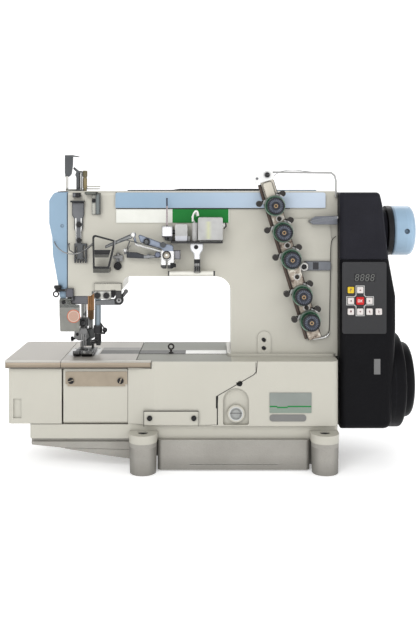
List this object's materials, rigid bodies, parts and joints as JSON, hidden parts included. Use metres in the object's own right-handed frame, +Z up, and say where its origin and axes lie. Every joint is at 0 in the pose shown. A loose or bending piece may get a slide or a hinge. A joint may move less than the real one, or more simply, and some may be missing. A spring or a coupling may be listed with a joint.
{
  "type": "coverstitch machine",
  "caption": "Flat-bed coverstitch sewing machine head with three needles, a leaning tension unit and a built-on motor.",
  "frame": {"origin": "middle of the four foot studs, on the plane that the feet stand on", "axes": "+X from the needles to the handwheel, +Y away from the operator, +Z up"},
  "size_m": [0.5696, 0.1978, 0.4298],
  "materials": {
    "cast_cream": "satin paint",
    "blue_cover": "satin",
    "bare_aluminium": "as cast",
    "polished_steel": "polished",
    "steel": "machined",
    "black_screw": "blackened",
    "black_housing": "fine texture",
    "dark_panel": "film",
    "white_plate": "gloss",
    "clear_plastic": "translucent",
    "key_white": "film",
    "key_red": "film",
    "key_yellow": "film",
    "black_plastic": "satin",
    "glass_bead": "clear"
  },
  "bodies": {
    "frame": {"machine_feet": "cast_cream", "fixing_screws": "black_screw", "oil_reservoir": "bare_aluminium", "bed_casting": "cast_cream", "bed_front_plate": "cast_cream", "inspection_cover": "cast_cream", "oil_gauge": "glass_bead", "blank_plates": "white_plate", "cloth_plate": "polished_steel", "needle_plate": "polished_steel", "slide_strips": "steel", "cover_hinges": "steel", "arm_casting": "cast_cream", "face_cover": "blue_cover", "column_cover": "cast_cream", "top_covers": "blue_cover", "motor_housing": "black_housing", "motor_cover": "black_housing", "motor_end_cap": "black_housing", "control_panel": "dark_panel", "tension_post": "white_plate", "tension_stacks": "steel", "thread_eyelets": "black_plastic", "thread_frame": "steel", "head_guides": "steel", "take_up_guard": "black_screw", "lubricator_box": "clear_plastic", "arm_brackets": "steel", "head_posts": "steel", "head_brackets": "steel"},
    "handwheel": {"handwheel": "blue_cover", "upper_shaft": "steel"},
    "needle_bar": {"needle_bar": "polished_steel", "needle_clamp": "steel"},
    "presser_bar": {"presser_bar": "polished_steel"},
    "presser_foot": {"presser_foot": "polished_steel"},
    "spreader": {"spreader": "steel"},
    "looper": {"looper": "steel"},
    "feed_dog": {"feed_dog": "steel"},
    "take_up": {"take_up_lever": "steel"},
    "lifter": {"lifter_lever": "steel"},
    "finger_guard": {"finger_guard": "clear_plastic"},
    "front_cover": {"front_cover": "cast_cream", "front_cover_plate": "steel"},
    "side_door": {"side_cover": "cast_cream", "swing_plate": "polished_steel"},
    "tension_knob_1": {"tension_knob_1": "black_plastic"},
    "tension_knob_2": {"tension_knob_2": "black_plastic"},
    "tension_knob_3": {"tension_knob_3": "black_plastic"},
    "tension_knob_4": {"tension_knob_4": "black_plastic"},
    "tension_knob_5": {"tension_knob_5": "black_plastic"},
    "key_program": {"key_program": "key_yellow"},
    "key_up": {"key_up": "key_white"},
    "key_left": {"key_left": "key_white"},
    "key_enter": {"key_enter": "key_red"},
    "key_right": {"key_right": "key_white"},
    "key_light": {"key_light": "key_white"},
    "key_down": {"key_down": "key_white"},
    "key_speed": {"key_speed": "key_white"},
    "key_needle": {"key_needle": "key_white"}
  },
  "joints": [
    {"name": "handwheel_turn", "type": "hinge", "parent": "frame", "child": "handwheel", "pos_m": [0.243, 0.0075, 0.322], "axis": [1, 0, 0], "continuous": true},
    {"name": "needle_bar_stroke", "type": "slide", "parent": "frame", "child": "needle_bar", "axis": [0, 0, 1], "range_m": [-0.025, 0.005]},
    {"name": "take_up_swing", "type": "hinge", "parent": "frame", "child": "take_up", "pos_m": [-0.0916, -0.052, 0.2886], "axis": [0, 1, 0], "range_deg": [-17, 3.5]},
    {"name": "spreader_swing", "type": "hinge", "parent": "frame", "child": "spreader", "pos_m": [-0.1925, -0.0095, 0.17], "axis": [0, 0, 1], "range_deg": [-10.5, 2.5]},
    {"name": "looper_swing", "type": "hinge", "parent": "frame", "child": "looper", "pos_m": [-0.205, 0, 0.082], "axis": [0, 1, 0], "range_deg": [-12, 2.5]},
    {"name": "feed_travel", "type": "slide", "parent": "frame", "child": "feed_dog", "axis": [0, 1, 0], "range_m": [-0.0018, 0.0004]},
    {"name": "lifter_turn", "type": "hinge", "parent": "frame", "child": "lifter", "pos_m": [-0.1598, -0.0317, 0.2257], "axis": [0, 1, 0], "range_deg": [0, 20.3]},
    {"name": "presser_lift", "type": "slide", "parent": "frame", "child": "presser_bar", "axis": [0, 0, 1], "range_m": [0, 0.005]},
    {"name": "presser_toe_tilt", "type": "hinge", "parent": "presser_bar", "child": "presser_foot", "pos_m": [-0.212, 0.008, 0.158], "axis": [-1, 0, 0], "range_deg": [0, 8]},
    {"name": "finger_guard_flip", "type": "hinge", "parent": "frame", "child": "finger_guard", "pos_m": [-0.234, -0.0375, 0.2274], "axis": [-1, 0, 0], "range_deg": [0, 70]},
    {"name": "front_cover_open", "type": "hinge", "parent": "frame", "child": "front_cover", "pos_m": [-0.188, -0.062, 0.0672], "axis": [1, 0, 0], "range_deg": [0, 85]},
    {"name": "side_door_open", "type": "hinge", "parent": "frame", "child": "side_door", "pos_m": [-0.3, 0.071, 0.1], "axis": [0, 0, -1], "range_deg": [0, 70]},
    {"name": "tension_knob_1_turn", "type": "hinge", "parent": "frame", "child": "tension_knob_1", "pos_m": [0.05707, -0.07, 0.35836], "axis": [0, 1, 0], "continuous": true},
    {"name": "tension_knob_2_turn", "type": "hinge", "parent": "frame", "child": "tension_knob_2", "pos_m": [0.06818, -0.07, 0.32203], "axis": [0, 1, 0], "continuous": true},
    {"name": "tension_knob_3_turn", "type": "hinge", "parent": "frame", "child": "tension_knob_3", "pos_m": [0.07958, -0.07, 0.28473], "axis": [0, 1, 0], "continuous": true},
    {"name": "tension_knob_4_turn", "type": "hinge", "parent": "frame", "child": "tension_knob_4", "pos_m": [0.09484, -0.07, 0.23481], "axis": [0, 1, 0], "continuous": true},
    {"name": "tension_knob_5_turn", "type": "hinge", "parent": "frame", "child": "tension_knob_5", "pos_m": [0.10554, -0.07, 0.19981], "axis": [0, 1, 0], "continuous": true},
    {"name": "key_program_press", "type": "slide", "parent": "frame", "child": "key_program", "axis": [0, 1, 0], "range_m": [0, 0.001], "stiffness_N_per_m": 500},
    {"name": "key_up_press", "type": "slide", "parent": "frame", "child": "key_up", "axis": [0, 1, 0], "range_m": [0, 0.001], "stiffness_N_per_m": 500},
    {"name": "key_left_press", "type": "slide", "parent": "frame", "child": "key_left", "axis": [0, 1, 0], "range_m": [0, 0.001], "stiffness_N_per_m": 500},
    {"name": "key_enter_press", "type": "slide", "parent": "frame", "child": "key_enter", "axis": [0, 1, 0], "range_m": [0, 0.001], "stiffness_N_per_m": 500},
    {"name": "key_right_press", "type": "slide", "parent": "frame", "child": "key_right", "axis": [0, 1, 0], "range_m": [0, 0.001], "stiffness_N_per_m": 500},
    {"name": "key_light_press", "type": "slide", "parent": "frame", "child": "key_light", "axis": [0, 1, 0], "range_m": [0, 0.001], "stiffness_N_per_m": 500},
    {"name": "key_down_press", "type": "slide", "parent": "frame", "child": "key_down", "axis": [0, 1, 0], "range_m": [0, 0.001], "stiffness_N_per_m": 500},
    {"name": "key_speed_press", "type": "slide", "parent": "frame", "child": "key_speed", "axis": [0, 1, 0], "range_m": [0, 0.001], "stiffness_N_per_m": 500},
    {"name": "key_needle_press", "type": "slide", "parent": "frame", "child": "key_needle", "axis": [0, 1, 0], "range_m": [0, 0.001], "stiffness_N_per_m": 500}
  ],
  "couplings": [
    {"joint": "take_up_swing", "follows": "needle_bar_stroke", "rad_per_m": 11.659},
    {"joint": "spreader_swing", "follows": "needle_bar_stroke", "rad_per_m": 6.98},
    {"joint": "looper_swing", "follows": "needle_bar_stroke", "rad_per_m": 8},
    {"joint": "feed_travel", "follows": "needle_bar_stroke", "ratio": 0.07},
    {"joint": "lifter_turn", "follows": "presser_lift", "rad_per_m": 69.8}
  ]
}
